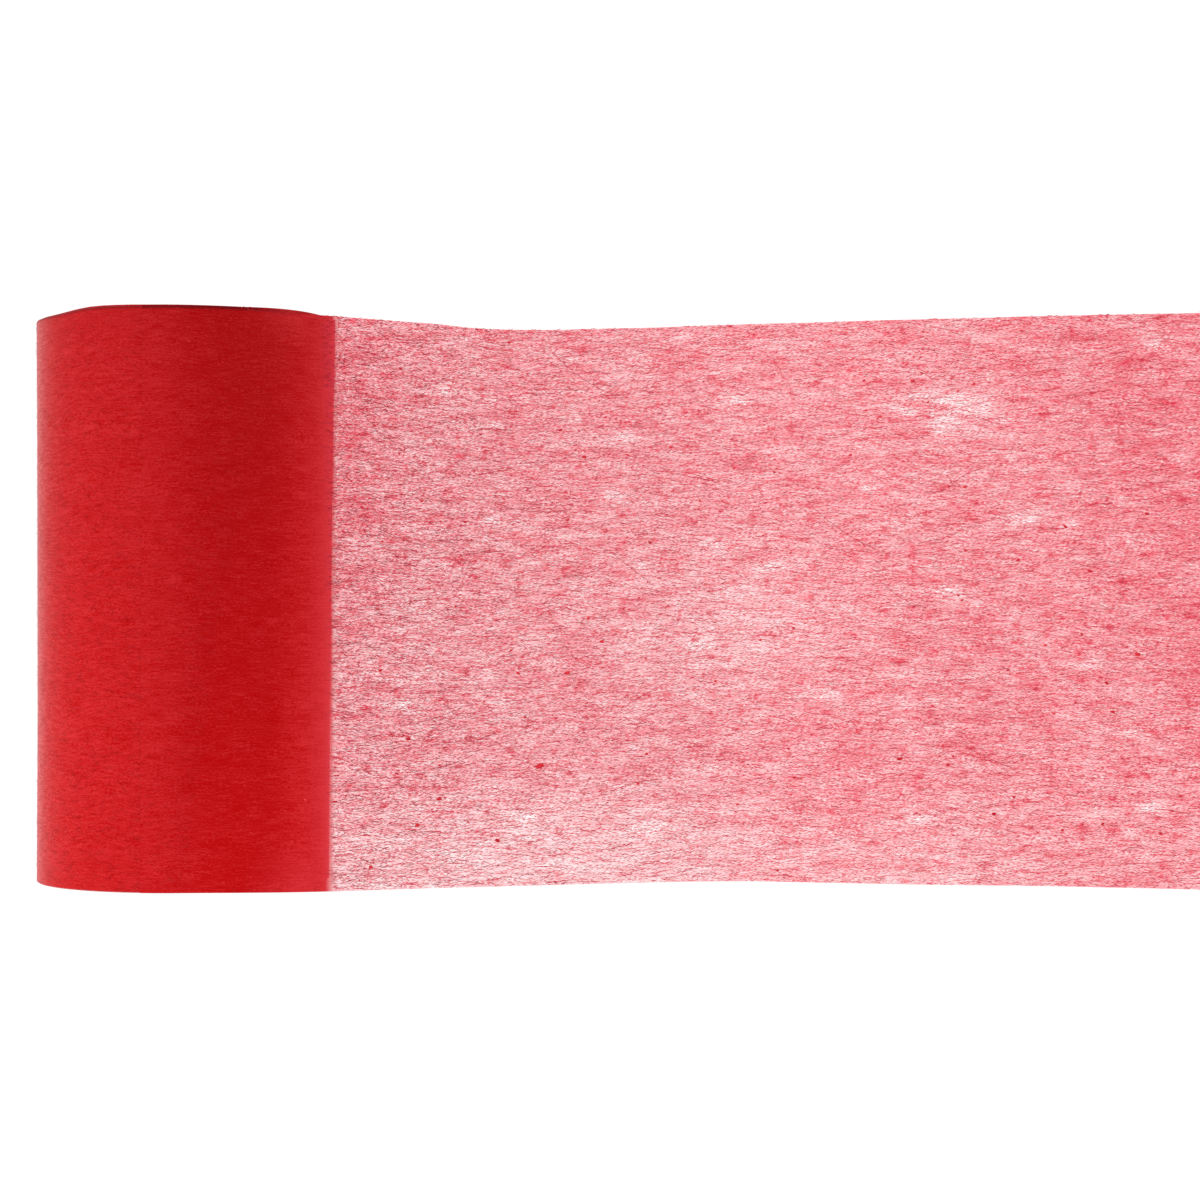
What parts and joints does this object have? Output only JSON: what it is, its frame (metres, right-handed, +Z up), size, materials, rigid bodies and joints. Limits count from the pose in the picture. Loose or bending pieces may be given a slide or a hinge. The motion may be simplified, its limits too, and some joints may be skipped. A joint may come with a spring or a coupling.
{
  "type": "roll of non-woven ribbon",
  "caption": "Roll of sheer red non-woven ribbon standing on end, with its outer turn drawn off to one side in a gentle wave.",
  "frame": {"origin": "middle of the footprint, on the surface that the roll and its loose end stand on", "axes": "+X from the roll along the loose end, +Y from the front to the back, +Z up along the roll's axis"},
  "size_m": [0.2164, 0.053, 0.1],
  "materials": {
    "wound_cloth": "matt, felt-like",
    "single_layer": "matt, sheer, fibres showing"
  },
  "bodies": {
    "root": {"wound_roll": "wound_cloth", "loose_end": "single_layer"}
  },
  "joints": []
}
